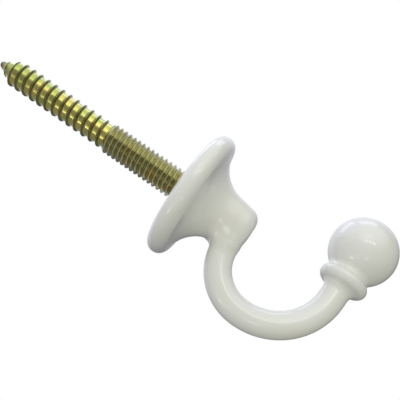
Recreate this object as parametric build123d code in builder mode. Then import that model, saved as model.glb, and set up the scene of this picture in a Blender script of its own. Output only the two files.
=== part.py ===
"""Curtain tieback hook: a cast J hook with a round wall flange, screwed onto a hanger bolt.

The origin is the centre of the flange's back face on the bolt's axis, +X points out of the wall
and +Z is the way the hook opens. Lengths are in millimetres.
"""
import os
from math import atan, atan2, cos, degrees, hypot, radians, sin, sqrt, tan

from build123d import *

# Wall flange and neck of the casting
flange_d = 24.8
rim_thickness = 3.9
rim_lip_deg = 6.0
neck_d = 9.3
neck_length = 14.6
neck_taper_deg = 9.5
nose_radius = 2.3

# J rod of the casting
rod_d = 5.0
rod_inset = 0.15
rod_drop = 4.5
root_lean_deg = 3.3
near_bend_radius = 8.6
far_bend_radius = 12.0
end_lean_deg = 2.3
root_fillet = 1.4

# Bead and ball at the end of the rod
stem_length = 3.85
bead_d = 9.15
bead_profile_radius = 1.25
bead_to_ball = 6.85
ball_d = 12.65
stem_fillet = 1.6
ball_fillet = 1.0

# Hanger bolt
machine_thread_d = 5.8
machine_root_d = 4.77
machine_length = 16.8
machine_pitch = 1.0
machine_crest_width = 0.2
machine_flank_width = 0.28
machine_lead = 0.085
machine_run_out = 0.3
bolt_seat_depth = 7.8
bolt_end_chamfer = 0.5
wood_thread_d = 5.25
wood_root_d = 4.4
wood_length = 25.4
wood_pitch = 1.7
wood_crest_width = 0.16
wood_flank_width = 0.27
wood_run_out = 0.9
point_length = 3.8
point_tip_d = 0.85
point_bare_length = 0.7
ridge_sink = 0.2

# Fits and cutting
thread_clearance = 0.11
mouth_clearance = 0.2
overrun = 1.0


def circle_meeting(centre_a, radius_a, centre_b, radius_b):
    """Point where two circles cross, on the right of the way from centre a to centre b."""
    run = centre_b[0] - centre_a[0]
    rise = centre_b[1] - centre_a[1]
    gap = hypot(run, rise)
    along = (gap**2 + radius_a**2 - radius_b**2) / (2 * gap)
    aside = sqrt(radius_a**2 - along**2)
    return (
        centre_a[0] + (along * run + aside * rise) / gap,
        centre_a[1] + (along * rise - aside * run) / gap,
    )


def toward(start, finish, length):
    """Point at a given length from start on the line to finish."""
    angle = atan2(finish[1] - start[1], finish[0] - start[0])
    return (start[0] + length * cos(angle), start[1] + length * sin(angle))


# Flange, flare, neck and rounded nose in one turned outline
flange_r = flange_d / 2
rim_r = rim_thickness / 2
neck_r = neck_d / 2
taper = radians(neck_taper_deg)
lip = radians(rim_lip_deg)
rim_centre = (rim_r, flange_r - rim_r)
flare_start = (rim_centre[0] + rim_r * cos(lip), rim_centre[1] + rim_r * sin(lip))
flare_radius = (flare_start[1] - neck_r) / (cos(taper) - sin(lip))
flare_centre = (flare_start[0] + flare_radius * cos(lip), flare_start[1] + flare_radius * sin(lip))
flare_turn = (radians(90) + taper - lip) / 2
neck_start = (flare_centre[0] - flare_radius * sin(taper), neck_r)
nose_x = neck_length - nose_radius
neck_end_x = nose_x + nose_radius * sin(taper)
neck_end_r = neck_r - (neck_end_x - neck_start[0]) * tan(taper)
nose_r = neck_end_r - nose_radius * cos(taper)
nose_turn = (radians(90) + taper) / 2

with BuildSketch(Plane.XZ) as boss_outline:
    with BuildLine():
        Polyline((0, rim_centre[1]), (0, 0), (neck_length, 0), (neck_length, nose_r))
        ThreePointArc(
            (neck_length, nose_r),
            (nose_x + nose_radius * sin(nose_turn), nose_r + nose_radius * cos(nose_turn)),
            (neck_end_x, neck_end_r),
        )
        Line((neck_end_x, neck_end_r), neck_start)
        ThreePointArc(
            neck_start,
            (
                flare_centre[0] - flare_radius * sin(flare_turn),
                flare_centre[1] - flare_radius * cos(flare_turn),
            ),
            flare_start,
        )
        ThreePointArc(flare_start, (rim_r, flange_r), (0, rim_centre[1]))
    make_face()

# Centreline of the J rod, down out of the neck, round two bends and up to the bead
rod_r = rod_d / 2
rod_x = neck_length - rod_inset - rod_r
root_lean = radians(root_lean_deg)
lean = radians(end_lean_deg)
bend_start = (rod_x + rod_drop * tan(root_lean), -rod_drop)
bottom = (
    bend_start[0] + near_bend_radius * cos(root_lean),
    bend_start[1] + near_bend_radius * sin(root_lean) - near_bend_radius,
)
far_centre = (bottom[0], bottom[1] + far_bend_radius)
rise_start = (
    far_centre[0] + far_bend_radius * cos(lean),
    far_centre[1] - far_bend_radius * sin(lean),
)
bead_place = (
    rise_start[0] + stem_length * sin(lean),
    rise_start[1] + stem_length * cos(lean),
)

with BuildLine(Plane.XZ) as rod_path:
    Line((rod_x, 0), bend_start)
    RadiusArc(bend_start, bottom, -near_bend_radius)
    RadiusArc(bottom, rise_start, -far_bend_radius)
    Line(rise_start, bead_place)

with BuildSketch(Plane(origin=(rod_x, 0, 0), z_dir=(sin(root_lean), 0, -cos(root_lean)))) as rod_section:
    Circle(rod_r)

# Stem, bead and ball turned about the rod's leaning end
finial_plane = Plane(
    origin=(rise_start[0], 0, rise_start[1]),
    x_dir=(cos(lean), 0, -sin(lean)),
    z_dir=(0, -1, 0),
)
ball_r = ball_d / 2
bead_centre = (bead_d / 2 - bead_profile_radius, stem_length)
ball_centre = (0, stem_length + bead_to_ball)
stem_blend_r = rod_r + stem_fillet
stem_blend = (
    stem_blend_r,
    stem_length - sqrt((bead_profile_radius + stem_fillet) ** 2 - (bead_centre[0] - stem_blend_r) ** 2),
)
ball_blend = circle_meeting(
    bead_centre, bead_profile_radius + ball_fillet, ball_centre, ball_r + ball_fillet
)
stem_top = (rod_r, stem_blend[1])
bead_bottom = toward(stem_blend, bead_centre, stem_fillet)
bead_top = toward(ball_blend, bead_centre, ball_fillet)
ball_bottom = toward(ball_blend, ball_centre, ball_fillet)

with BuildSketch(finial_plane) as finial_outline:
    with BuildLine():
        Polyline((0, ball_centre[1] + ball_r), (0, 0), (rod_r, 0), stem_top)
        RadiusArc(stem_top, bead_bottom, stem_fillet)
        ThreePointArc(bead_bottom, (bead_d / 2, stem_length), bead_top)
        RadiusArc(bead_top, ball_bottom, ball_fillet)
        ThreePointArc(ball_bottom, (ball_r, ball_centre[1]), (0, ball_centre[1] + ball_r))
    make_face()

# Blind tapped hole with a countersunk mouth, from the bolt that fills it
machine_r = machine_thread_d / 2
machine_root_r = machine_root_d / 2
hole_r = machine_root_r + thread_clearance
mouth_r = machine_r + mouth_clearance

with BuildSketch(Plane.XZ) as hole_outline:
    Polygon(
        (-overrun, 0),
        (-overrun, mouth_r + overrun),
        (mouth_r - hole_r, hole_r),
        (bolt_seat_depth, hole_r),
        (bolt_seat_depth, 0),
        align=None,
    )

with BuildPart() as hook_casting:
    revolve(boss_outline.sketch, axis=Axis.X)
    sweep(rod_section.sketch, path=rod_path.line)
    root_edges = hook_casting.edges(Select.NEW).filter_by_position(Axis.X, 0, neck_length)
    fillet(root_edges, radius=root_fillet)
    revolve(finial_outline.sketch, axis=Axis(finial_plane.origin, finial_plane.y_dir))
    revolve(hole_outline.sketch, axis=Axis.X, mode=Mode.SUBTRACT)

hook_casting.part.label = "hook_casting"

# Hanger bolt body: gimlet point, roots of the wood and the machine thread, and seated end
wood_r = wood_thread_d / 2
wood_root_r = wood_root_d / 2
point_r = point_tip_d / 2
tip_x = -machine_length - wood_length
point_x = tip_x + point_length
shoulder_x = -machine_length - (machine_root_r - wood_root_r)

with BuildSketch(Plane.XZ) as bolt_outline:
    Polygon(
        (tip_x, 0),
        (tip_x, point_r),
        (point_x, wood_root_r),
        (shoulder_x, wood_root_r),
        (-machine_length, machine_root_r),
        (bolt_seat_depth - bolt_end_chamfer, machine_root_r),
        (bolt_seat_depth, machine_root_r - bolt_end_chamfer),
        (bolt_seat_depth, 0),
        align=None,
    )

# Threads: ridges wound along the roots for whole turns, the wood one on down the gimlet point
machine_turns = int((machine_length - machine_lead - machine_run_out) / machine_pitch)
machine_depth = machine_r - machine_root_r
wood_turns = int((wood_length - point_length - wood_run_out) / wood_pitch)
wood_x = point_x + wood_turns * wood_pitch
wood_depth = wood_r - wood_root_r
point_slope = (wood_root_r - point_r) / point_length
bare_r = point_r + point_slope * point_bare_length
fade_length = point_length - point_bare_length
fade_slope = (wood_r - bare_r) / fade_length
point_sink = ridge_sink + (wood_crest_width / 2 + wood_flank_width) * fade_slope


def ridge_plane(path):
    """Plane across a winding path at its start, with its x direction out from the bolt's axis."""
    start = path @ 0
    return Plane(origin=start, x_dir=(0, start.Y, start.Z), z_dir=path % 0)


def ridge_corners(depth, crest_width, flank_width, sink):
    """Corners of a thread ridge of a given depth, its foot sunk under the root."""
    crest = crest_width / 2
    foot = crest + flank_width
    return (
        (0, crest),
        (0, -crest),
        (-depth, -foot),
        (-depth - sink, -foot),
        (-depth - sink, foot),
        (-depth, foot),
    )


with BuildLine() as machine_path:
    Helix(
        machine_pitch,
        machine_turns * machine_pitch,
        machine_r,
        center=(-machine_lead, 0, 0),
        direction=(-1, 0, 0),
    )

with BuildSketch(ridge_plane(machine_path.line)) as machine_section:
    Polygon(
        *ridge_corners(machine_depth, machine_crest_width, machine_flank_width, ridge_sink),
        align=None,
    )

with BuildLine() as wood_path:
    Helix(wood_pitch, wood_turns * wood_pitch, wood_r, center=(wood_x, 0, 0), direction=(-1, 0, 0))

with BuildSketch(ridge_plane(wood_path.line)) as wood_section:
    Polygon(*ridge_corners(wood_depth, wood_crest_width, wood_flank_width, ridge_sink), align=None)

with BuildLine() as point_path:
    Helix(
        wood_pitch,
        fade_length,
        wood_r,
        center=(point_x, 0, 0),
        direction=(-1, 0, 0),
        cone_angle=-degrees(atan(fade_slope)),
    )

with BuildSketch(ridge_plane(point_path.line)) as point_section:
    Polygon(*ridge_corners(wood_depth, wood_crest_width, wood_flank_width, point_sink), align=None)

with BuildPart() as hanger_bolt:
    revolve(bolt_outline.sketch, axis=Axis.X)
    sweep(machine_section.sketch, path=machine_path.line, is_frenet=True)
    sweep(wood_section.sketch, path=wood_path.line, is_frenet=True)
    sweep(point_section.sketch, path=point_path.line, is_frenet=True)

hanger_bolt.part.label = "hanger_bolt"

os.makedirs("parts", exist_ok=True)
export_step(hook_casting.part, "parts/hook_casting.step")
export_step(hanger_bolt.part, "parts/hanger_bolt.step")
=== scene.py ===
"""Curtain tieback hook: a white enamelled J hook screwed onto a yellow-passivated hanger bolt."""

import logging
import math
from dataclasses import dataclass
from enum import Enum
from typing import Any, Union

import bmesh
import bpy
import numpy as np
from mathutils import Matrix, Vector


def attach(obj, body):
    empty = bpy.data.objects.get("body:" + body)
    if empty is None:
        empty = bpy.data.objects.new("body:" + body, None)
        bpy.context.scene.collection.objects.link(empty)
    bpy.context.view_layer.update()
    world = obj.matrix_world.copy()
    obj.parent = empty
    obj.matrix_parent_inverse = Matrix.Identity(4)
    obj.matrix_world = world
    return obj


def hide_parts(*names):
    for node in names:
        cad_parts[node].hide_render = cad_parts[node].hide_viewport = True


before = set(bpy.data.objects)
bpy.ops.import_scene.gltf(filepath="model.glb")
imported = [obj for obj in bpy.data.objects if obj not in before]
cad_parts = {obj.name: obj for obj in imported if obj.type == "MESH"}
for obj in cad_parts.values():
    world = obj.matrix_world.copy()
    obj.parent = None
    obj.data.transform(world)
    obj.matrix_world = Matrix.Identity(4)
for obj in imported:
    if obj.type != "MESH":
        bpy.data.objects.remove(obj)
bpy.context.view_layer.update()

MM = 0.001
LOG = logging.getLogger("tieback_hook")
WHITE = (1.0, 1.0, 1.0, 1.0)
TINY = 1e-9
SAME_PLACE = 1e-6

# Sockets of the Mix node that carry its share, its two colours and its colour result
MIX_COLOUR_INPUTS = (0, 6, 7)
MIX_COLOUR_OUTPUT = 2

Number = Union[float, int, tuple, "Wire"]
Pair = tuple[float, float]


class Blend(Enum):
    """How a value runs between two ends of a range."""

    STRAIGHT = "LINEAR"
    EASED = "SMOOTHSTEP"


class Share(Enum):
    """Names of the shares that the bolt stores on its skin for the plate: where the wood thread runs, where
    the tip is darkened, and where painted shade falls in the thread flanks and valleys.
    """

    COARSE = "coarse"
    WORN = "worn"
    HOLLOW = "hollow"


class Wire:
    """An output socket of a node tree that takes part in sums."""

    def __init__(self, graph: "Graph", socket: bpy.types.NodeSocket) -> None:
        """Keeps the socket and the graph that holds it."""
        self.graph = graph
        self.socket = socket

    def math(self, operation: str, *others: Number) -> "Wire":
        """Joins this socket with other values in one Math node.

        Args:
            operation: The Math node's operation.
            others: The node's second and third values.

        Returns:
            The node's result.
        """
        node = self.graph.node("ShaderNodeMath", operation=operation)
        for slot, value in zip(node.inputs, (self, *others)):
            self.graph.feed(slot, value)
        return Wire(self.graph, node.outputs[0])

    def __add__(self, other: Number) -> "Wire":
        """Sum."""
        return self.math("ADD", other)

    def __sub__(self, other: Number) -> "Wire":
        """Difference."""
        return self.math("SUBTRACT", other)

    def __mul__(self, other: Number) -> "Wire":
        """Product."""
        return self.math("MULTIPLY", other)

    def __truediv__(self, other: Number) -> "Wire":
        """Quotient."""
        return self.math("DIVIDE", other)

    def least(self, other: Number) -> "Wire":
        """The smaller of two values."""
        return self.math("MINIMUM", other)

    def most(self, other: Number) -> "Wire":
        """The larger of two values."""
        return self.math("MAXIMUM", other)

    def span(
        self, start: Number, end: Number, low: Number, high: Number, blend: Blend = Blend.STRAIGHT
    ) -> "Wire":
        """Maps a range of this value onto another range and holds the ends.

        Args:
            start: Value that gives low.
            end: Value that gives high.
            low: Result at the start.
            high: Result at the end.
            blend: How the result runs between them.

        Returns:
            The mapped value.
        """
        node = self.graph.node("ShaderNodeMapRange", interpolation_type=blend.value, clamp=True)
        for slot, value in zip(node.inputs, (self, start, end, low, high)):
            self.graph.feed(slot, value)
        return Wire(self.graph, node.outputs[0])

    def between(self, other: "Wire", share: Number) -> "Wire":
        """This value at share 0, the other at share 1."""
        return self + (other - self) * share


class Graph:
    """Adds nodes to one node tree and joins their sockets."""

    def __init__(self, tree: bpy.types.NodeTree) -> None:
        """Keeps the tree."""
        self.tree = tree

    def node(self, kind: str, **settings: Any) -> bpy.types.Node:
        """Adds one node and sets its properties.

        Args:
            kind: The node's type name.
            settings: The node's properties.

        Returns:
            The new node.
        """
        node = self.tree.nodes.new(kind)
        for name, value in settings.items():
            setattr(node, name, value)
        return node

    def feed(self, slot: bpy.types.NodeSocket, value: Any) -> None:
        """Links a wire to an input socket, or sets the socket's own value.

        Args:
            slot: The input socket.
            value: A wire, or a plain value for the socket.
        """
        if isinstance(value, Wire):
            self.tree.links.new(value.socket, slot)
        else:
            slot.default_value = value

    def add(self, kind: str, inputs: dict[Any, Any], output: Any = 0, **settings: Any) -> Wire:
        """Adds a node with its inputs.

        Args:
            kind: The node's type name.
            inputs: Input names or numbers with their values.
            output: Name or number of the output that is wanted.
            settings: The node's properties.

        Returns:
            The wanted output.
        """
        node = self.node(kind, **settings)
        for name, value in inputs.items():
            self.feed(node.inputs[name], value)
        return Wire(self, node.outputs[output])

    def mix(self, share: Number, first: Any, second: Any) -> Wire:
        """Mixes two colours.

        Args:
            share: How much of the second colour there is.
            first: Colour at share 0.
            second: Colour at share 1.

        Returns:
            The mixed colour.
        """
        node = self.node("ShaderNodeMix", data_type="RGBA")
        for number, value in zip(MIX_COLOUR_INPUTS, (share, first, second)):
            self.feed(node.inputs[number], value)
        return Wire(self, node.outputs[MIX_COLOUR_OUTPUT])


class GeometryTree(Graph):
    """A Geometry Nodes tree with named inputs."""

    def __init__(self, name: str, inputs: dict[str, str]) -> None:
        """Makes the tree's sockets.

        Args:
            name: The tree's name.
            inputs: Names of the inputs with their socket types.
        """
        super().__init__(bpy.data.node_groups.new(name, "GeometryNodeTree"))
        face = self.tree.interface
        face.new_socket("Geometry", in_out="INPUT", socket_type="NodeSocketGeometry")
        made = {
            label: face.new_socket(label, in_out="INPUT", socket_type=kind)
            for label, kind in inputs.items()
        }
        face.new_socket("Geometry", in_out="OUTPUT", socket_type="NodeSocketGeometry")
        self.keys = {label: item.identifier for label, item in made.items()}
        self.source = self.node("NodeGroupInput")
        self.sink = self.node("NodeGroupOutput")

    def value(self, label: str) -> Wire:
        """A named input of the tree."""
        return Wire(self, self.source.outputs[label])

    def close(self, geometry: Wire) -> None:
        """Welds, smooths, realises and dresses the geometry, and hands it out.

        Args:
            geometry: What the tree has made.
        """
        welded = self.add(
            "GeometryNodeMergeByDistance", {"Geometry": geometry, "Distance": self.value("Weld")}
        )
        smooth = self.add("GeometryNodeSetShadeSmooth", {"Geometry": welded})
        real = self.add("GeometryNodeRealizeInstances", {"Geometry": smooth})
        dressed = self.add(
            "GeometryNodeSetMaterial", {"Geometry": real, "Material": self.value("Material")}
        )
        self.feed(self.sink.inputs["Geometry"], dressed)

    def run(self, piece: bpy.types.Object, values: dict[str, Any]) -> None:
        """Runs the tree on an object and leaves a plain mesh in it.

        Args:
            piece: Object whose mesh goes in and is replaced.
            values: The tree's inputs by name.
        """
        modifier = piece.modifiers.new(self.tree.name, "NODES")
        modifier.node_group = self.tree
        for label, value in values.items():
            modifier[self.keys[label]] = value
        depsgraph = bpy.context.evaluated_depsgraph_get()
        made = bpy.data.meshes.new_from_object(
            piece.evaluated_get(depsgraph), preserve_all_data_layers=True, depsgraph=depsgraph
        )
        piece.modifiers.remove(modifier)
        spare = piece.data
        piece.data = made
        bpy.data.meshes.remove(spare)
        made.name = piece.name


class ShaderTree(Graph):
    """A material's node tree round one Principled shader."""

    def __init__(self, name: str) -> None:
        """Makes the material and finds its shader.

        Args:
            name: The material's name.
        """
        self.material = bpy.data.materials.new(name)
        self.material.use_nodes = True
        super().__init__(self.material.node_tree)
        self.shader = self.tree.nodes["Principled BSDF"]
        self.place = Wire(self, self.node("ShaderNodeTexCoord").outputs["Object"])

    def set(self, **inputs: Any) -> None:
        """Sets shader inputs; an underscore stands for a space in their names."""
        for name, value in inputs.items():
            self.feed(self.shader.inputs[name.replace("_", " ")], value)

    def noise(self, scale: float, detail: float = 2.0, roughness: float = 0.5, shift: float = 0.0) -> Wire:
        """Noise on the object's own coordinates.

        Args:
            scale: Lumps in a metre.
            detail: Number of finer layers.
            roughness: Weight of the finer layers.
            shift: Moves the pattern, so that two noises differ.

        Returns:
            A value about one half.
        """
        spot = self.add("ShaderNodeVectorMath", {0: self.place, 1: (shift, shift, shift)}, operation="ADD")
        inputs = {"Vector": spot, "Scale": scale, "Detail": detail, "Roughness": roughness}
        return self.add("ShaderNodeTexNoise", inputs, "Fac")

    def bump(self, height: Wire, strength: float, distance: float) -> Wire:
        """A bump from a height."""
        return self.add("ShaderNodeBump", {"Height": height, "Strength": strength, "Distance": distance})


@dataclass(frozen=True)
class EnamelFinish:
    """Thick gloss white enamel over a casting."""

    name: str = "white_enamel"
    body: tuple = (0.845, 0.846, 0.766, 1.0)
    warm: tuple = (0.832, 0.832, 0.73, 1.0)
    tone_scale: float = 130.0
    tone_detail: float = 3.0
    tone_range: Pair = (0.35, 0.65)
    gloss_shift: float = 0.7
    gloss_range: Pair = (0.3, 0.7)
    roughness: Pair = (0.16, 0.22)
    peel_scale: float = 900.0
    peel_layers: float = 0.4
    peel_shift: float = 0.3
    peel_strength: float = 0.12
    peel_height: float = 0.02 * MM
    coat: float = 0.6
    coat_roughness: float = 0.07
    refraction: float = 1.5

    def material(self) -> bpy.types.Material:
        """Makes the enamel with a faint tone drift and orange peel.

        Returns:
            The finished material.
        """
        tree = ShaderTree(self.name)
        tone = tree.noise(self.tone_scale, self.tone_detail).span(*self.tone_range, 0.0, 1.0)
        gloss = tree.noise(self.tone_scale, shift=self.gloss_shift)
        peel = tree.noise(self.peel_scale, roughness=self.peel_layers, shift=self.peel_shift)
        tree.set(
            Base_Color=tree.mix(tone, self.body, self.warm),
            Roughness=gloss.span(*self.gloss_range, *self.roughness),
            Normal=tree.bump(peel, self.peel_strength, self.peel_height),
            Coat_Weight=self.coat,
            Coat_Roughness=self.coat_roughness,
            IOR=self.refraction,
        )
        return tree.material


@dataclass(frozen=True)
class ChromateFinish:
    """Yellow passivated zinc plate on steel, with the drift of colour that the bath leaves."""

    name: str = "yellow_chromate"
    gold: tuple = (0.59, 0.53, 0.125, 1.0)
    olive: tuple = (0.40, 0.46, 0.09, 1.0)
    rose: tuple = (0.62, 0.44, 0.12, 1.0)
    drab: tuple = (0.45, 0.43, 0.2, 1.0)
    # Painted shade: the dark colour painted into the thread flanks and valleys.
    hollow: tuple = (0.135, 0.112, 0.018, 1.0)
    # Colour of the tip's last stretch: dark olive, darker towards the point.
    worn: tuple = (0.045, 0.055, 0.03, 1.0)
    drift_scale: float = 300.0
    drift_detail: float = 3.0
    drift_range: Pair = (0.43, 0.59)
    spot_scale: float = 420.0
    spot_shift: float = 0.4
    spot_range: Pair = (0.58, 0.72)
    spot_share: float = 0.8
    gloss_scale: float = 700.0
    gloss_shift: float = 0.9
    gloss_range: Pair = (0.3, 0.7)
    roughness: Pair = (0.16, 0.28)
    grain_scale: float = 3000.0
    grain_shift: float = 0.2
    grain_strength: float = 0.15
    grain_height: float = 0.01 * MM
    coat: float = 0.9
    coat_roughness: float = 0.15
    coat_refraction: float = 1.55

    def material(self) -> bpy.types.Material:
        """Makes the plate from the shares that the bolt stores: the wood thread's share, the darkened tip,
        and the painted shade in the thread flanks and valleys.

        Returns:
            The finished material.
        """
        tree = ShaderTree(self.name)
        coarse, worn, hollow = (
            tree.add("ShaderNodeAttribute", {}, "Fac", attribute_name=share.value) for share in Share
        )
        drift = tree.noise(self.drift_scale, self.drift_detail).span(*self.drift_range, 0.0, 1.0)
        spots = tree.noise(self.spot_scale, shift=self.spot_shift)
        bath = tree.mix(drift, self.gold, self.olive)
        stained = spots.span(*self.spot_range, 0.0, self.spot_share)
        plate = tree.mix(stained, tree.mix(coarse, self.drab, bath), self.rose)
        gloss = tree.noise(self.gloss_scale, shift=self.gloss_shift)
        grain = tree.noise(self.grain_scale, shift=self.grain_shift)
        tree.set(
            # Painted shade darkens the plate in the thread flanks and valleys, and the tip turns dark
            # towards the point.
            Base_Color=tree.mix(worn, tree.mix(hollow, plate, self.hollow), self.worn),
            Metallic=worn.span(0.0, 1.0, 1.0, 0.0),
            Roughness=gloss.span(*self.gloss_range, *self.roughness),
            Normal=tree.bump(grain, self.grain_strength, self.grain_height),
            Coat_Weight=self.coat,
            Coat_Roughness=self.coat_roughness,
            Coat_IOR=self.coat_refraction,
        )
        return tree.material


def arc(centre: Pair, radius: float, start: float, end: float, steps: int) -> np.ndarray:
    """Points along an arc.

    Args:
        centre: Middle of the arc.
        radius: Its radius.
        start: First angle in radians.
        end: Last angle in radians.
        steps: Number of steps between them.

    Returns:
        One row for each point.
    """
    turn = np.linspace(start, end, steps + 1)
    return np.stack([centre[0] + radius * np.cos(turn), centre[1] + radius * np.sin(turn)], 1)


def run(start: Pair, end: Pair, steps: int) -> np.ndarray:
    """Points along a straight line, both ends included."""
    share = np.linspace(0.0, 1.0, steps + 1)[:, None]
    return np.array(start) * (1 - share) + np.array(end) * share


def joined(*runs: np.ndarray) -> np.ndarray:
    """Joins runs of points and drops each point that repeats the one before it.

    Args:
        runs: Runs of points in order.

    Returns:
        One row for each point that is left.
    """
    points = np.concatenate(runs)
    fresh = np.r_[True, np.linalg.norm(np.diff(points, axis=0), axis=1) > SAME_PLACE]
    return points[fresh]


def edge_distance(points: np.ndarray, outline: np.ndarray) -> tuple[np.ndarray, np.ndarray]:
    """Signed distance of points from a closed outline, and the way out of it beside each point.

    Args:
        points: One row for each point.
        outline: Corners of the outline in order, with the inside on the right.

    Returns:
        One distance for each point, less than zero inside, and one unit normal for each.
    """
    following = np.roll(outline, -1, 0)
    side = following - outline
    normal = np.stack([-side[:, 1], side[:, 0]], 1) / np.linalg.norm(side, axis=1)[:, None]
    offset = points[:, None, :] - outline
    share = np.clip((offset * side).sum(2) / (side**2).sum(1), 0.0, 1.0)
    gap = np.linalg.norm(offset - share[..., None] * side, axis=2)
    height = points[:, 1, None]
    spans = (outline[:, 1] > height) != (following[:, 1] > height)
    rise = np.where(side[:, 1] == 0.0, 1.0, side[:, 1])
    left = points[:, 0, None] < outline[:, 0] + side[:, 0] * offset[..., 1] / rise
    inside = (spans & left).sum(1) % 2 == 1
    near = gap.min(1)
    return np.where(inside, -near, near), normal[gap.argmin(1)]


def new_piece(name: str, points: np.ndarray, faces: list) -> bpy.types.Object:
    """Makes a mesh object at the origin.

    Args:
        name: Name of the object and its mesh.
        points: Corners in millimetres.
        faces: Lists of corner numbers.

    Returns:
        The object, linked to the scene.
    """
    mesh = bpy.data.meshes.new(name)
    mesh.from_pydata((points * MM).tolist(), [], faces)
    piece = bpy.data.objects.new(name, mesh)
    bpy.context.scene.collection.objects.link(piece)
    return piece


def face_outwards(piece: bpy.types.Object, sharp_deg: float) -> None:
    """Turns a closed mesh's faces outwards and keeps its sharp edges.

    Args:
        piece: Object whose mesh is set right.
        sharp_deg: Edges that turn by more than this stay sharp.
    """
    shell = bmesh.new()
    shell.from_mesh(piece.data)
    bmesh.ops.recalc_face_normals(shell, faces=shell.faces)
    shell.to_mesh(piece.data)
    shell.free()
    piece.data.shade_smooth()
    piece.data.set_sharp_from_angle(angle=math.radians(sharp_deg))


def hand_over(piece: bpy.types.Object, node: str) -> None:
    """Seats a piece on the frame in the place of its solid.

    Args:
        piece: The finished piece.
        node: The solid that it stands for.
    """
    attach(piece, "root")
    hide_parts(node)
    LOG.info("%s: %d faces", piece.name, len(piece.data.polygons))


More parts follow.
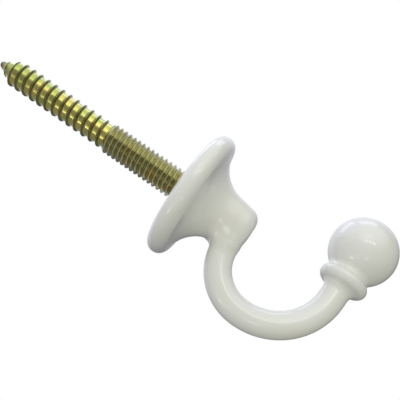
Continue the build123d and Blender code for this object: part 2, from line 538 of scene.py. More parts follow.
@dataclass
class HookCasting:
    """The cast hook: flange, flare, neck, elbow, J rod, bead and ball in one skin. Millimetres."""

    flange_d: float = 24.8
    rim_thickness: float = 3.9
    rim_lip_deg: float = 6.0
    neck_d: float = 9.3
    neck_length: float = 14.6
    neck_taper_deg: float = 9.5
    nose_radius: float = 2.3
    rod_d: float = 5.0
    rod_inset: float = 0.15
    rod_drop: float = 4.5
    root_lean_deg: float = 3.3
    near_bend_radius: float = 8.6
    far_bend_radius: float = 12.0
    end_lean_deg: float = 2.3
    stem_length: float = 3.85
    bead_d: float = 9.15
    bead_profile_radius: float = 1.25
    bead_to_ball: float = 6.85
    ball_d: float = 12.65
    stem_fillet: float = 1.6
    ball_fillet: float = 1.0
    hole_r: float = 2.495
    mouth_r: float = 3.1
    hole_depth: float = 7.8
    root_blend: float = 1.7
    side_blend: float = 2.0
    blend_bend: float = 0.5
    blend_ease_share: float = 0.3
    fan_pivot: Pair = (7.3, -8.5)
    steps_around: int = 128
    back_steps: int = 14
    rim_steps: int = 40
    flare_steps: int = 34
    fine_flare_steps: int = 160
    nose_steps: int = 60
    hole_steps: int = 8
    mouth_steps: int = 2
    elbow_rings: int = 72
    halvings: int = 22
    bend_steps: int = 44
    stem_steps: int = 6
    stem_fillet_steps: int = 16
    bead_steps: int = 30
    ball_fillet_steps: int = 14
    ball_steps: int = 64
    weld_gap: float = 0.03
    sharp_deg: float = 40.0

    def __post_init__(self) -> None:
        """Works out the places that several methods share."""
        self.lean = math.radians(self.end_lean_deg)
        self.taper = math.radians(self.neck_taper_deg)
        self.lip = math.radians(self.rim_lip_deg)
        self.root_lean = math.radians(self.root_lean_deg)
        self.rim_r = self.rim_thickness / 2
        self.rim_centre = (self.rim_r, self.flange_d / 2 - self.rim_r)
        lip_way = np.array([math.cos(self.lip), math.sin(self.lip)])
        flare_start = np.array(self.rim_centre) + self.rim_r * lip_way
        self.flare_radius = (flare_start[1] - self.neck_d / 2) / (math.cos(self.taper) - lip_way[1])
        self.flare_centre = tuple(flare_start + self.flare_radius * lip_way)
        self.rod_r = self.rod_d / 2
        self.rod_x = self.neck_length - self.rod_inset - self.rod_r
        self.bend_start = (self.rod_x + self.rod_drop * math.tan(self.root_lean), -self.rod_drop)
        self.near_centre = (
            self.bend_start[0] + self.near_bend_radius * math.cos(self.root_lean),
            self.bend_start[1] + self.near_bend_radius * math.sin(self.root_lean),
        )
        self.far_centre = (
            self.near_centre[0],
            self.near_centre[1] - self.near_bend_radius + self.far_bend_radius,
        )
        self.rise_start = (
            self.far_centre[0] + self.far_bend_radius * math.cos(self.lean),
            self.far_centre[1] - self.far_bend_radius * math.sin(self.lean),
        )
        self.turn = np.linspace(0.0, 2 * math.pi, self.steps_around, endpoint=False)

    def flare_run(self, end: float, steps: int) -> np.ndarray:
        """Back of the flange, rim and flare up to an angle of the flare's circle.

        Args:
            end: Last angle in radians.
            steps: Number of steps along the flare.

        Returns:
            Points in distance out and radius.
        """
        back = run((0.0, self.mouth_r), (0.0, self.rim_centre[1]), self.back_steps)
        rim = arc(self.rim_centre, self.rim_r, math.pi, self.lip, self.rim_steps)
        flare = arc(self.flare_centre, self.flare_radius, math.pi + self.lip, end, steps)
        return joined(back, rim, flare)

    def boss_outline(self) -> np.ndarray:
        """Closed half outline of flange, flare, neck and nose.

        Returns:
            Points in distance out and radius.
        """
        flare_end = 1.5 * math.pi - self.taper
        neck_start_x = self.flare_centre[0] - self.flare_radius * math.sin(self.taper)
        nose_x = self.neck_length - self.nose_radius
        end_x = nose_x + self.nose_radius * math.sin(self.taper)
        end_r = self.neck_d / 2 - (end_x - neck_start_x) * math.tan(self.taper)
        nose_centre = (nose_x, end_r - self.nose_radius * math.cos(self.taper))
        nose = arc(nose_centre, self.nose_radius, math.pi / 2 - self.taper, 0.0, self.nose_steps)
        axis = run((self.neck_length, 0.0), (0.0, 0.0), 1)
        return joined(self.flare_run(flare_end, self.fine_flare_steps), nose, axis)

    def rod_distance(self, points: np.ndarray) -> tuple[np.ndarray, np.ndarray]:
        """Signed distance of points from the rod's first run and bend, and the way out of it.

        Args:
            points: One row for each point.

        Returns:
            One distance for each point, less than zero inside, and one unit normal for each.
        """
        start = np.array([self.rod_x, 0.0, 0.0])
        end = np.array([self.bend_start[0], 0.0, self.bend_start[1]])
        middle = np.array([self.near_centre[0], 0.0, self.near_centre[1]])
        drop = end - start
        share = np.clip((points - start) @ drop / (drop @ drop), 0.0, 1.0)
        beside = points - start - share[:, None] * drop
        level = (points - middle) * (1.0, 0.0, 1.0)
        reach = np.maximum(np.linalg.norm(level, axis=1), TINY)[:, None]
        round_bend = points - middle - level / reach * self.near_bend_radius
        past = ((points - end) @ drop > 0.0) & (points[:, 0] < middle[0])
        away = np.where(past[:, None], round_bend, beside)
        length = np.maximum(np.linalg.norm(away, axis=1), TINY)
        return length - self.rod_r, away / length[:, None]

    def blended(self, points: np.ndarray, outline: np.ndarray, weight: np.ndarray) -> np.ndarray:
        """Distance from boss and rod together, with a soft blend where they meet at an angle.

        Args:
            points: One row for each point.
            outline: The boss's closed half outline.
            weight: How much of the blend acts at each point, from 0 to 1.

        Returns:
            One distance for each point, less than zero inside.
        """
        radius = np.maximum(np.hypot(points[:, 1], points[:, 2]), TINY)
        boss, boss_out = edge_distance(np.stack([points[:, 0], radius], 1), outline)
        rod, rod_out = self.rod_distance(points)
        spread = boss_out[:, 1, None] * points[:, 1:] / radius[:, None]
        facing = boss_out[:, 0] * rod_out[:, 0] + (spread * rod_out[:, 1:]).sum(1)
        reach = self.root_blend + self.side_blend * np.clip(np.abs(points[:, 1]) / self.rod_r, 0.0, 1.0)
        near = np.clip(1.0 - np.abs(boss - rod) / reach, 0.0, None)
        bent = np.clip((1.0 - facing) / self.blend_bend, 0.0, 1.0)
        return np.minimum(boss, rod) - near**2 * reach / 4 * bent * weight

    def turned(self, profile: np.ndarray) -> list[np.ndarray]:
        """Rings of a half outline turned about the bolt's axis."""
        side, up = np.sin(self.turn), np.cos(self.turn)
        return [np.stack([np.full_like(up, x), r * side, r * up], 1) for x, r in profile]

    def elbow(self) -> list[np.ndarray]:
        """Rings that fan round the inner corner, from the flare over to the rod's bend.

        Returns:
            Rings whose corners lie on the blended skin of boss and rod.
        """
        pivot = np.array(self.fan_pivot)
        away = pivot - np.array(self.near_centre)
        away /= np.linalg.norm(away)
        rod_point = np.array(self.near_centre) + away * self.near_bend_radius
        reach = (-pivot[1], float(np.linalg.norm(rod_point - pivot)))
        last = math.atan2(-away[1], -away[0])
        outline = self.boss_outline()
        share = np.repeat(np.linspace(0.0, 1.0, self.elbow_rings), self.steps_around)
        turn = np.tile(self.turn, self.elbow_rings)
        angle = math.pi / 2 + (last - math.pi / 2) * share
        across = np.stack([np.cos(angle), np.sin(angle)], 1)
        middle = pivot + across * (reach[0] + (reach[1] - reach[0]) * share)[:, None]
        start = np.stack([middle[:, 0], np.zeros_like(share), middle[:, 1]], 1)
        ways = np.stack([across[:, 0] * np.cos(turn), np.sin(turn), across[:, 1] * np.cos(turn)], 1)
        weight = np.clip(np.minimum(share, 1.0 - share) / self.blend_ease_share, 0.0, 1.0)
        weight = weight**2 * (3.0 - 2.0 * weight)
        low, high = np.zeros_like(share), np.full_like(share, self.neck_length)
        for _ in range(self.halvings):
            half = (low + high) / 2
            outside = self.blended(start + ways * half[:, None], outline, weight) > 0.0
            low, high = np.where(outside, low, half), np.where(outside, half, high)
        return list((start + ways * low[:, None]).reshape(self.elbow_rings, self.steps_around, 3))

    def finial(self) -> list[np.ndarray]:
        """Stem, bead and ball, turned about the rod's leaning end.

        Returns:
            Rings in order from the rod to the top of the ball.
        """
        bead_centre = (self.bead_d / 2 - self.bead_profile_radius, self.stem_length)
        ball_centre = (0.0, self.stem_length + self.bead_to_ball)
        ball_r = self.ball_d / 2
        stem_r = self.rod_r + self.stem_fillet
        stem_reach = self.bead_profile_radius + self.stem_fillet
        stem_drop = math.sqrt(stem_reach**2 - (bead_centre[0] - stem_r) ** 2)
        stem_blend = (stem_r, self.stem_length - stem_drop)
        ball_blend = self.meeting(bead_centre, ball_centre, ball_r)
        rise = math.atan2(bead_centre[1] - stem_blend[1], bead_centre[0] - stem_blend[0])
        to_bead = math.atan2(bead_centre[1] - ball_blend[1], bead_centre[0] - ball_blend[0])
        to_ball = math.atan2(ball_centre[1] - ball_blend[1], ball_centre[0] - ball_blend[0])
        profile = joined(
            run((self.rod_r, 0.0), (self.rod_r, stem_blend[1]), self.stem_steps),
            arc(stem_blend, self.stem_fillet, math.pi, rise, self.stem_fillet_steps),
            arc(bead_centre, self.bead_profile_radius, rise - math.pi, to_bead + math.pi, self.bead_steps),
            arc(ball_blend, self.ball_fillet, to_bead + 2 * math.pi, to_ball, self.ball_fillet_steps),
            arc(ball_centre, ball_r, to_ball - math.pi, math.pi / 2, self.ball_steps),
        )
        out = np.array([math.cos(self.lean), 0.0, -math.sin(self.lean)])
        up = np.array([math.sin(self.lean), 0.0, math.cos(self.lean)])
        foot = np.array([self.rise_start[0], 0.0, self.rise_start[1]])
        side = np.array([0.0, 1.0, 0.0])
        spread = -np.cos(self.turn)[:, None] * out + np.sin(self.turn)[:, None] * side
        return [foot + up * height + spread * max(radius, 0.0) for radius, height in profile]

    def meeting(self, bead: Pair, ball: Pair, ball_r: float) -> Pair:
        """Middle of the small blend that touches both bead and ball.

        Args:
            bead: Middle of the bead's round edge.
            ball: Middle of the ball.
            ball_r: The ball's radius.

        Returns:
            Radius and height of the middle.
        """
        reach_bead = self.bead_profile_radius + self.ball_fillet
        reach_ball = ball_r + self.ball_fillet
        run_x, run_y = ball[0] - bead[0], ball[1] - bead[1]
        gap = math.hypot(run_x, run_y)
        along = (gap**2 + reach_bead**2 - reach_ball**2) / (2 * gap)
        aside = math.sqrt(reach_bead**2 - along**2)
        return (
            bead[0] + (along * run_x + aside * run_y) / gap,
            bead[1] + (along * run_y - aside * run_x) / gap,
        )

    def strip(self, rings: list[np.ndarray], first: int) -> list:
        """Faces between rings that follow each other.

        Args:
            rings: The rings in order.
            first: Number of the first ring's first corner.

        Returns:
            Lists of four corner numbers.
        """
        count = self.steps_around
        faces = []
        for row in range(len(rings) - 1):
            start = first + row * count
            for column in range(count):
                near = start + column
                beside = start + (column + 1) % count
                faces.append((near, beside, count + beside, count + near))
        return faces

    def rod_path(self) -> bpy.types.Object:
        """Centreline of the rod from the elbow to the stem, as one smooth curve.

        Returns:
            The curve's object, linked to the scene.
        """
        pivot = Vector(self.fan_pivot)
        away = pivot - Vector(self.near_centre)
        first = math.atan2(away.y, away.x) % (2 * math.pi)
        bends = [
            (self.near_centre, self.near_bend_radius, first, 1.5 * math.pi),
            (self.far_centre, self.far_bend_radius, 1.5 * math.pi, 2 * math.pi - self.lean),
        ]
        curve = bpy.data.curves.new("rod_path", "CURVE")
        curve.dimensions = "3D"
        spline = curve.splines.new("BEZIER")
        spline.bezier_points.add(len(bends))
        spline.resolution_u = self.bend_steps
        for number, (centre, radius, start, end) in enumerate(bends):
            pull = 4.0 / 3.0 * math.tan((end - start) / 4) * radius
            for point, angle, sign in ((number, start, 1.0), (number + 1, end, -1.0)):
                spot = spline.bezier_points[point]
                across = centre[0] + radius * math.cos(angle)
                height = centre[1] + radius * math.sin(angle)
                place = Vector((across, 0.0, height))
                along = Vector((-math.sin(angle), 0.0, math.cos(angle))) * pull * sign
                spot.handle_left_type = spot.handle_right_type = "FREE"
                spot.co = place * MM
                if sign > 0:
                    spot.handle_right = (place + along) * MM
                else:
                    spot.handle_left = (place + along) * MM
        for point, inner in ((0, "right"), (len(bends), "left")):
            spot = spline.bezier_points[point]
            outer = "left" if inner == "right" else "right"
            setattr(spot, f"handle_{outer}", spot.co * 2 - getattr(spot, f"handle_{inner}"))
        path = bpy.data.objects.new("rod_path", curve)
        bpy.context.scene.collection.objects.link(path)
        return path

    def rod_tree(self) -> GeometryTree:
        """Tree that sweeps the rod along its path and welds it between elbow and stem.

        Returns:
            The tree.
        """
        tree = GeometryTree(
            "J rod sweep",
            {
                "Path": "NodeSocketObject",
                "Rod Radius": "NodeSocketFloat",
                "Steps Around": "NodeSocketInt",
                "Weld": "NodeSocketFloat",
                "Material": "NodeSocketMaterial",
            },
        )
        path = tree.add("GeometryNodeObjectInfo", {"Object": tree.value("Path")}, "Geometry")
        section = tree.add(
            "GeometryNodeCurvePrimitiveCircle",
            {"Resolution": tree.value("Steps Around"), "Radius": tree.value("Rod Radius")},
        )
        rod = tree.add("GeometryNodeCurveToMesh", {"Curve": path, "Profile Curve": section})
        join = tree.node("GeometryNodeJoinGeometry")
        tree.feed(join.inputs[0], rod)
        tree.feed(join.inputs[0], tree.value("Geometry"))
        tree.close(Wire(tree, join.outputs[0]))
        return tree

    def build(self, finish: EnamelFinish) -> bpy.types.Object:
        """Builds and dresses the casting.

        Args:
            finish: The enamel.

        Returns:
            The finished piece.
        """
        flare_reach = self.fan_pivot[0] - self.flare_centre[0]
        flare_end = 2 * math.pi - math.acos(flare_reach / self.flare_radius)
        mouth_depth = self.mouth_r - self.hole_r
        hole = joined(
            run((self.hole_depth, 0.0), (self.hole_depth, self.hole_r), self.mouth_steps),
            run((self.hole_depth, self.hole_r), (mouth_depth, self.hole_r), self.hole_steps),
            run((mouth_depth, self.hole_r), (0.0, self.mouth_r), self.mouth_steps),
        )
        flange = joined(hole, self.flare_run(flare_end, self.flare_steps))
        body = self.turned(flange)[:-1] + self.elbow()
        end = self.finial()
        faces = self.strip(body, 0) + self.strip(end, len(body) * self.steps_around)
        piece = new_piece("enamelled_hook", np.concatenate(body + end), faces)
        path = self.rod_path()
        self.rod_tree().run(
            piece,
            {
                "Path": path,
                "Rod Radius": self.rod_r * MM,
                "Steps Around": self.steps_around,
                "Weld": self.weld_gap * MM,
                "Material": finish.material(),
            },
        )
        bpy.data.objects.remove(path)
        face_outwards(piece, self.sharp_deg)
        return piece


@dataclass
class HangerBolt:
    """The hanger bolt as one wound skin from its seated end to its gimlet point. Millimetres."""

    seat_depth: float = 7.8
    end_chamfer: float = 0.5
    machine_d: float = 5.8
    machine_root_d: float = 4.77
    machine_length: float = 16.8
    machine_pitch: float = 1.0
    wood_d: float = 5.25
    wood_root_d: float = 4.4
    wood_length: float = 25.4
    wood_pitch: float = 1.704
    point_length: float = 3.8
    point_tip_d: float = 0.85
    point_bare_length: float = 0.7
    point_rounding: float = 0.4
    lead_turns: int = 2
    tail_turns: int = 2
    phase_deg: float = 41.3
    wood_crest_place: float = 0.875
    fine_flank_shares: Pair = (0.08, 0.92)
    coarse_flank_shares: Pair = (0.09, 0.5)
    coarse_flank_power: float = 1.5
    fine_shade_shares: Pair = (0.35, 0.95)
    fine_shade: float = 0.4
    coarse_shade_shares: Pair = (0.26, 0.46)
    coarse_shade: float = 0.85
    # Stretch from the point, in mm, over which the tip is darkened, and how much.
    dark_tip_lengths: Pair = (0.7, 1.6)
    dark_tip_share: float = 0.9
    change_length: float = 0.1
    change_fade: float = 0.3
    seat_fade: float = 0.4
    steps_around: int = 64
    steps_across: int = 24
    weld_gap: float = 0.002
    sharp_deg: float = 75.0

    def __post_init__(self) -> None:
        """Works out where the machine thread ends and how many turns the strip takes."""
        self.machine_end = self.seat_depth + self.machine_length
        wound = self.machine_end / self.machine_pitch + self.wood_length / self.wood_pitch
        self.turns = self.lead_turns + math.ceil(wound) + self.tail_turns

    def counts(self) -> dict[str, int]:
        """Whole numbers of the winding, under the names of its inputs."""
        return {
            "Turns": self.turns,
            "Lead Turns": self.lead_turns,
            "Steps Around": self.steps_around,
            "Steps Across": self.steps_across,
        }

    def lengths(self) -> dict[str, float]:
        """Lengths of the winding in millimetres, under the names of its inputs."""
        return {
            "Seat Depth": self.seat_depth,
            "End Chamfer": self.end_chamfer,
            "Machine Pitch": self.machine_pitch,
            "Machine Radius": self.machine_d / 2,
            "Machine Root": self.machine_root_d / 2,
            "Machine End": self.machine_end,
            "Wood Pitch": self.wood_pitch,
            "Wood Radius": self.wood_d / 2,
            "Wood Root": self.wood_root_d / 2,
            "Point Length": self.point_length,
            "Bare Length": self.point_bare_length,
            "Tip Radius": self.point_tip_d / 2,
            "Tip Rounding": self.point_rounding,
            "Length": self.machine_end + self.wood_length,
            "Weld": self.weld_gap,
        }

    def winding_tree(self) -> GeometryTree:
        """Tree that winds one strip round the bolt and shapes both threads on it.

        Returns:
            The tree. Along the strip, each turn lies beside the one before it and is welded to it.
        """
        tree = GeometryTree(
            "hanger bolt winding",
            {
                **dict.fromkeys(self.counts(), "NodeSocketInt"),
                **dict.fromkeys(self.lengths(), "NodeSocketFloat"),
                "Phase": "NodeSocketFloat",
                "Wood Crest Place": "NodeSocketFloat",
                "Material": "NodeSocketMaterial",
            },
        )
        value = tree.value
        grid = tree.add(
            "GeometryNodeMeshGrid",
            {
                "Size X": 1.0,
                "Size Y": 1.0,
                "Vertices X": value("Turns") * value("Steps Around") + 1,
                "Vertices Y": value("Steps Across") + 1,
            },
        )
        spot = tree.node("ShaderNodeSeparateXYZ")
        tree.feed(spot.inputs[0], Wire(tree, tree.node("GeometryNodeInputPosition").outputs[0]))
        turn = (Wire(tree, spot.outputs["X"]) + 0.5) * value("Turns")
        across = Wire(tree, spot.outputs["Y"]) + 0.5
        wound = turn + across
        along = self.distance_along(tree, wound)
        change = self.change_length * MM
        wood = along.span(value("Machine End") - change, value("Machine End") + change, 0.0, 1.0)
        # The second result is the painted shade for the thread flanks and valleys.
        height, thread_shade = self.thread_form(tree, across, wood)
        root, crest = self.radii(tree, along, wood)
        reach = self.thread_reach(tree, along)
        ridge = height * reach
        left = value("Length") - along
        flat = (left / value("Tip Rounding")).math("MULTIPLY_ADD", -1.0, 1.0).most(0.0)
        dome = (flat * flat).math("MULTIPLY_ADD", -1.0, 1.0).math("SQRT")
        body = root * dome + (crest - root).most(0.0) * ridge
        first = wound.span(1.0, value("Lead Turns"), 0.0, 1.0)
        last = wound.span(value("Turns") - 1.0, value("Turns"), 1.0, 0.0)
        radius = body * first * last
        angle = turn * (2 * math.pi) + value("Phase")
        place = tree.node("ShaderNodeCombineXYZ")
        tree.feed(place.inputs["X"], value("Seat Depth") - along)
        tree.feed(place.inputs["Y"], radius * angle.math("SINE"))
        tree.feed(place.inputs["Z"], radius * angle.math("COSINE"))
        # Darkens the tip over its last stretch, most at the point.
        near, far = (length * MM for length in self.dark_tip_lengths)
        worn = left.span(near, far, self.dark_tip_share, 0.0, Blend.EASED)
        strip = grid
        # Stores the wood share, the darkened tip and the painted shade for the plate.
        for share, amount in ((Share.COARSE, wood), (Share.WORN, worn), (Share.HOLLOW, thread_shade * reach)):
            strip = tree.add(
                "GeometryNodeStoreNamedAttribute", {"Geometry": strip, "Name": share.value, "Value": amount}
            )
        spiral = {"Geometry": strip, "Position": Wire(tree, place.outputs[0])}
        tree.close(tree.add("GeometryNodeSetPosition", spiral))
        return tree

    @staticmethod
    def distance_along(tree: GeometryTree, wound: Wire) -> Wire:
        """Distance from the seated end, as turns of the fine pitch and then of the coarse one.

        Args:
            tree: The tree.
            wound: Turns that the strip has made.

        Returns:
            The distance in metres.
        """
        value = tree.value
        gone = (wound - value("Lead Turns")).most(0.0)
        fine_turns = value("Machine End") / value("Machine Pitch")
        fine = gone.least(fine_turns) * value("Machine Pitch")
        coarse = (gone - fine_turns).most(0.0) * value("Wood Pitch")
        return (fine + coarse).least(value("Length"))

    def thread_form(self, tree: GeometryTree, across: Wire, wood: Wire) -> tuple[Wire, Wire]:
        """Height of the thread across one turn, and how deep in shade that place is.

        Args:
            tree: The tree.
            across: Place across the turn, from 0 to 1.
            wood: 0 on the machine thread and 1 on the wood thread.

        Returns:
            Height and shade, each from 0 to 1.
        """
        fine_d = (across - 0.5).math("ABSOLUTE") * 2.0
        shifted = (across - tree.value("Wood Crest Place") + 1.5).math("FRACT") - 0.5
        coarse_d = shifted.math("ABSOLUTE") * 2.0
        fine = fine_d.span(*self.fine_flank_shares, 1.0, 0.0)
        coarse = coarse_d.span(*self.coarse_flank_shares, 1.0, 0.0).math("POWER", self.coarse_flank_power)
        fine_shade = fine_d.span(*self.fine_shade_shares, 0.0, self.fine_shade, Blend.EASED)
        coarse_shade = coarse_d.span(*self.coarse_shade_shares, self.coarse_shade, 0.0, Blend.EASED)
        return fine.between(coarse, wood), fine_shade.between(coarse_shade, wood)

    @staticmethod
    def radii(tree: GeometryTree, along: Wire, wood: Wire) -> tuple[Wire, Wire]:
        """Root and crest radius at a distance from the seated end.

        Args:
            tree: The tree.
            along: Distance from the seated end.
            wood: 0 on the machine thread and 1 on the wood thread.

        Returns:
            The two radii in metres.
        """
        value = tree.value
        left = value("Length") - along
        chamfer = along + value("Machine Root") - value("End Chamfer")
        slope = (value("Wood Root") - value("Tip Radius")) / value("Point Length")
        cone = left * slope + value("Tip Radius")
        root = value("Machine Root").between(value("Wood Root"), wood).least(chamfer).least(cone)
        bare = slope * value("Bare Length") + value("Tip Radius")
        fade = (value("Wood Radius") - bare) / (value("Point Length") - value("Bare Length"))
        point_crest = (left - value("Bare Length")) * fade + bare
        crest = value("Machine Radius").between(value("Wood Radius"), wood).least(point_crest)
        return root, crest

    def thread_reach(self, tree: GeometryTree, along: Wire) -> Wire:
        """Where the bolt is threaded.

        Args:
            tree: The tree.
            along: Distance from the seated end.

        Returns:
            1 on the threads, 0 in the seat and just at the change of thread.
        """
        seat = tree.value("Seat Depth")
        seated = along.span(seat - self.seat_fade * MM, seat, 0.0, 1.0, Blend.EASED)
        apart = (along - tree.value("Machine End")).math("ABSOLUTE")
        return seated * apart.span(0.0, self.change_fade * MM, 0.0, 1.0, Blend.EASED)

    def build(self, finish: ChromateFinish) -> bpy.types.Object:
        """Builds and dresses the bolt.

        Args:
            finish: The plating.

        Returns:
            The finished piece.
        """
        piece = new_piece("threaded_bolt", np.zeros((0, 3)), [])
        lengths = {label: length * MM for label, length in self.lengths().items()}
        others = {
            "Phase": math.radians(self.phase_deg),
            "Wood Crest Place": self.wood_crest_place,
            "Material": finish.material(),
        }
        self.winding_tree().run(piece, self.counts() | lengths | others)
        face_outwards(piece, self.sharp_deg)
        return piece


@dataclass(frozen=True)
class SoftLight:
    """One soft lamp, placed as the camera sees it: right, up and towards the camera."""

    name: str
    way: tuple
    distance: float
    width: float
    height: float
    radiance: float
    colour: tuple
    tilt_deg: float = 0.0

    def place(self, axes: Matrix) -> None:
        """Hangs the lamp and turns it to the object.

        Args:
            axes: The camera's right, up and back directions as columns.
        """
        lamp = bpy.data.lights.new(self.name, "AREA")
        lamp.shape = "RECTANGLE"
        lamp.size, lamp.size_y = self.width, self.height
        lamp.energy = self.radiance * math.pi * self.width * self.height
        lamp.color = self.colour
        holder = bpy.data.objects.new(self.name, lamp)
        way = (axes @ Vector(self.way)).normalized()
        along = way.cross(axes.col[0]).normalized().cross(way)
        turn = Matrix((along, way.cross(along), way)).transposed().to_4x4()
        tilt = Matrix.Rotation(math.radians(self.tilt_deg), 4, "Z")
        holder.matrix_world = Matrix.Translation(way * self.distance) @ turn @ tilt
        holder.visible_camera = False
        bpy.context.scene.collection.objects.link(holder)


@dataclass(frozen=True)
class Region:
    """A part of the surroundings: its side as the camera sees it, how it fades in, and its colour."""

    way: tuple
    cosines: Pair
    colour: tuple = WHITE

    def share(self, graph: Graph, ray: Wire, axes: Matrix) -> Wire:
        """How much of this part a ray meets.

        Args:
            graph: The world's nodes.
            ray: The ray's direction.
            axes: The camera's right, up and back directions as columns.

        Returns:
            A share from 0 to 1.
        """
        aim = {0: ray, 1: (axes @ Vector(self.way)).normalized()}
        cosine = graph.add("ShaderNodeVectorMath", aim, "Value", operation="DOT_PRODUCT")
        return cosine.span(*self.cosines, 0.0, 1.0, Blend.EASED)


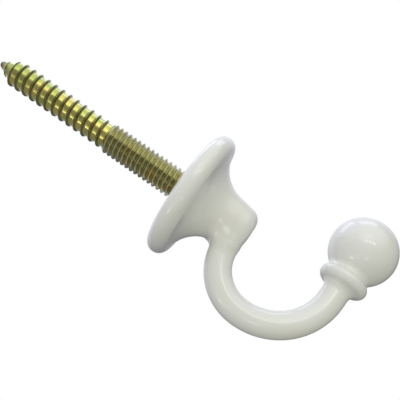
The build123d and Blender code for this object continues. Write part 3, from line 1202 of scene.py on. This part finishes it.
@dataclass
class Studio:
    """Camera, lamps, white ground and pale floor. Metres, apart from the values named mm."""

    azimuth_deg: float = 6.39
    elevation_deg: float = -18.02
    roll_deg: float = 36.67
    offset_mm: tuple = (-3.064, -1.992, 116.41)
    lens_mm: float = 57.6
    sensor_mm: float = 36.0
    clip: Pair = (0.005, 20.0)
    floor_z: float = -0.1
    floor_reach: float = 0.32
    floor_fade_shares: Pair = (0.55, 0.95)
    floor_colour: tuple = (0.9, 0.9, 0.9, 1.0)
    floor_roughness: float = 0.9
    floor_glow: float = 0.6
    shade: tuple = (0.15, 0.15, 0.165, 1.0)
    sky: Region = Region((-0.35, 0.87, -0.34), (-0.7, 0.8), (0.785, 0.795, 0.985, 1.0))
    fill: Region = Region((0.12, 0.06, 0.99), (0.1, 1.0), (0.815, 0.825, 0.77, 1.0))
    mirror_shade: tuple = (0.35, 0.345, 0.35, 1.0)
    mirror_sky: Region = Region((-0.35, 0.87, -0.34), (0.5, 0.95), (0.98, 1.0, 1.1, 1.0))
    mirror_foot: tuple = (0.18, 0.18, 0.2, 1.0)
    mirror_ground: Region = Region((-0.3, 0.95, 0.0), (-0.45, 0.3), (0.92, 0.94, 1.02, 1.0))
    mirror_glow: Region = Region((0.42, 0.86, 0.3), (0.62, 0.96), (1.25, 1.27, 1.22, 1.0))
    rear: Region = Region((0.0, 0.0, 1.0), (-0.2, -0.9))
    lamps: tuple = (
        SoftLight("left_window", (-0.27, 0.72, -0.64), 0.34, 0.19, 0.12, 1.25, (0.76, 0.83, 1.0)),
        SoftLight("right_window", (0.36, 0.82, -0.44), 0.34, 0.19, 0.12, 1.25, (0.76, 0.83, 1.0)),
        SoftLight("left_pane", (-0.71, -0.3, 0.64), 0.4, 0.07, 0.05, 3.4, (1.0, 1.0, 0.97)),
        SoftLight("right_pane", (0.01, -0.28, 0.96), 0.4, 0.07, 0.05, 3.4, (1.0, 1.0, 0.97)),
        SoftLight("key", (0.06, 0.82, 0.57), 0.42, 0.36, 0.13, 0.6, (1.0, 0.99, 0.95)),
        SoftLight("tube", (0.2, 0.58, 0.79), 0.42, 0.3, 0.045, 2.4, (1.0, 0.99, 0.93), -18.0),
        SoftLight("lattice", (-0.63, -0.22, 0.74), 0.5, 0.3, 0.16, 0.5, (1.0, 1.0, 0.95)),
    )

    def axes(self) -> Matrix:
        """Directions of the camera.

        Returns:
            Its right, up and back directions as columns.
        """
        azimuth, elevation = math.radians(self.azimuth_deg), math.radians(self.elevation_deg)
        back = Vector(
            (
                math.sin(azimuth) * math.cos(elevation),
                -math.cos(azimuth) * math.cos(elevation),
                math.sin(elevation),
            )
        )
        level = Vector((math.cos(azimuth), math.sin(azimuth), 0.0))
        upright = back.cross(level)
        turn = math.radians(self.roll_deg)
        right = level * math.cos(turn) + upright * math.sin(turn)
        up = upright * math.cos(turn) - level * math.sin(turn)
        return Matrix((right, up, back)).transposed()

    def camera(self) -> None:
        """Sets the camera at the photograph's viewing angle."""
        axes = self.axes()
        across, down, depth = self.offset_mm
        data = bpy.data.cameras.new("camera")
        data.lens = self.lens_mm
        data.sensor_width = self.sensor_mm
        data.clip_start, data.clip_end = self.clip
        camera = bpy.data.objects.new("camera", data)
        place = axes @ Vector((-across, down, depth)) * MM
        camera.matrix_world = Matrix.Translation(place) @ axes.to_4x4()
        bpy.context.scene.collection.objects.link(camera)
        bpy.context.scene.camera = camera

    def world(self) -> None:
        """White to the camera; as light and in reflections, a bright sky over a shaded room."""
        world = bpy.data.worlds.new("white_ground")
        world.use_nodes = True
        bpy.context.scene.world = world
        graph = Graph(world.node_tree)
        rays = graph.node("ShaderNodeLightPath")
        seen = Wire(graph, rays.outputs["Is Camera Ray"])
        glossy = Wire(graph, rays.outputs["Is Glossy Ray"])
        mirrored = glossy.most(Wire(graph, rays.outputs["Is Transmission Ray"]))
        ray = Wire(graph, graph.node("ShaderNodeTexCoord").outputs["Generated"])
        around = (graph, ray, self.axes())
        dome = graph.mix(self.sky.share(*around), self.shade, self.sky.colour)
        light = graph.mix(self.fill.share(*around), dome, self.fill.colour)
        room = graph.mix(self.mirror_sky.share(*around), self.mirror_shade, self.mirror_sky.colour)
        ground = graph.mix(self.mirror_ground.share(*around), self.mirror_foot, self.mirror_ground.colour)
        behind = graph.mix(self.rear.share(*around), room, ground)
        mirror = graph.mix(self.mirror_glow.share(*around), behind, self.mirror_glow.colour)
        backdrop = world.node_tree.nodes["Background"]
        graph.feed(backdrop.inputs["Color"], graph.mix(seen, graph.mix(mirrored, light, mirror), WHITE))
        backdrop.inputs["Strength"].default_value = 1.0

    def floor(self) -> None:
        """Lays a pale floor that fades out at its rim and keeps the object's shadow."""
        reach = self.floor_reach
        corners = np.array([(-1, -1, 0), (1, -1, 0), (1, 1, 0), (-1, 1, 0)]) * reach / MM
        corners[:, 2] = self.floor_z / MM
        floor = new_piece("pale_floor", corners, [(0, 1, 2, 3)])
        tree = ShaderTree("pale_floor")
        tree.set(Base_Color=self.floor_colour, Roughness=self.floor_roughness)
        rays = tree.node("ShaderNodeLightPath")
        seen = Wire(tree, rays.outputs["Is Camera Ray"]).most(Wire(tree, rays.outputs["Is Glossy Ray"]))
        glow = tree.add("ShaderNodeEmission", {"Color": WHITE, "Strength": 1.0})
        matt = Wire(tree, tree.shader.outputs[0])
        lit = tree.add("ShaderNodeMixShader", {0: seen * self.floor_glow, 1: matt, 2: glow})
        clear = tree.add("ShaderNodeBsdfTransparent", {})
        distance = tree.add("ShaderNodeVectorMath", {0: tree.place}, "Value", operation="LENGTH")
        near, far = (reach * share for share in self.floor_fade_shares)
        fade = distance.span(near, far, 0.0, 1.0, Blend.EASED)
        final = tree.add("ShaderNodeMixShader", {0: fade, 1: lit, 2: clear})
        tree.feed(tree.tree.nodes["Material Output"].inputs["Surface"], final)
        floor.data.materials.append(tree.material)
        floor.visible_diffuse = floor.visible_glossy = False

    def build(self) -> None:
        """Sets up the whole studio."""
        self.camera()
        self.world()
        self.floor()
        for lamp in self.lamps:
            lamp.place(self.axes())
        bpy.context.scene.view_settings.view_transform = "Standard"
        LOG.info("studio: %d lamps", len(self.lamps))


def main() -> None:
    """Builds the hook, the bolt and the studio in order."""
    logging.basicConfig(level=logging.INFO, format="%(name)s: %(message)s")
    hand_over(HookCasting().build(EnamelFinish()), "hook_casting")
    hand_over(HangerBolt().build(ChromateFinish()), "hanger_bolt")
    Studio().build()


if __name__ == "__main__":
    main()
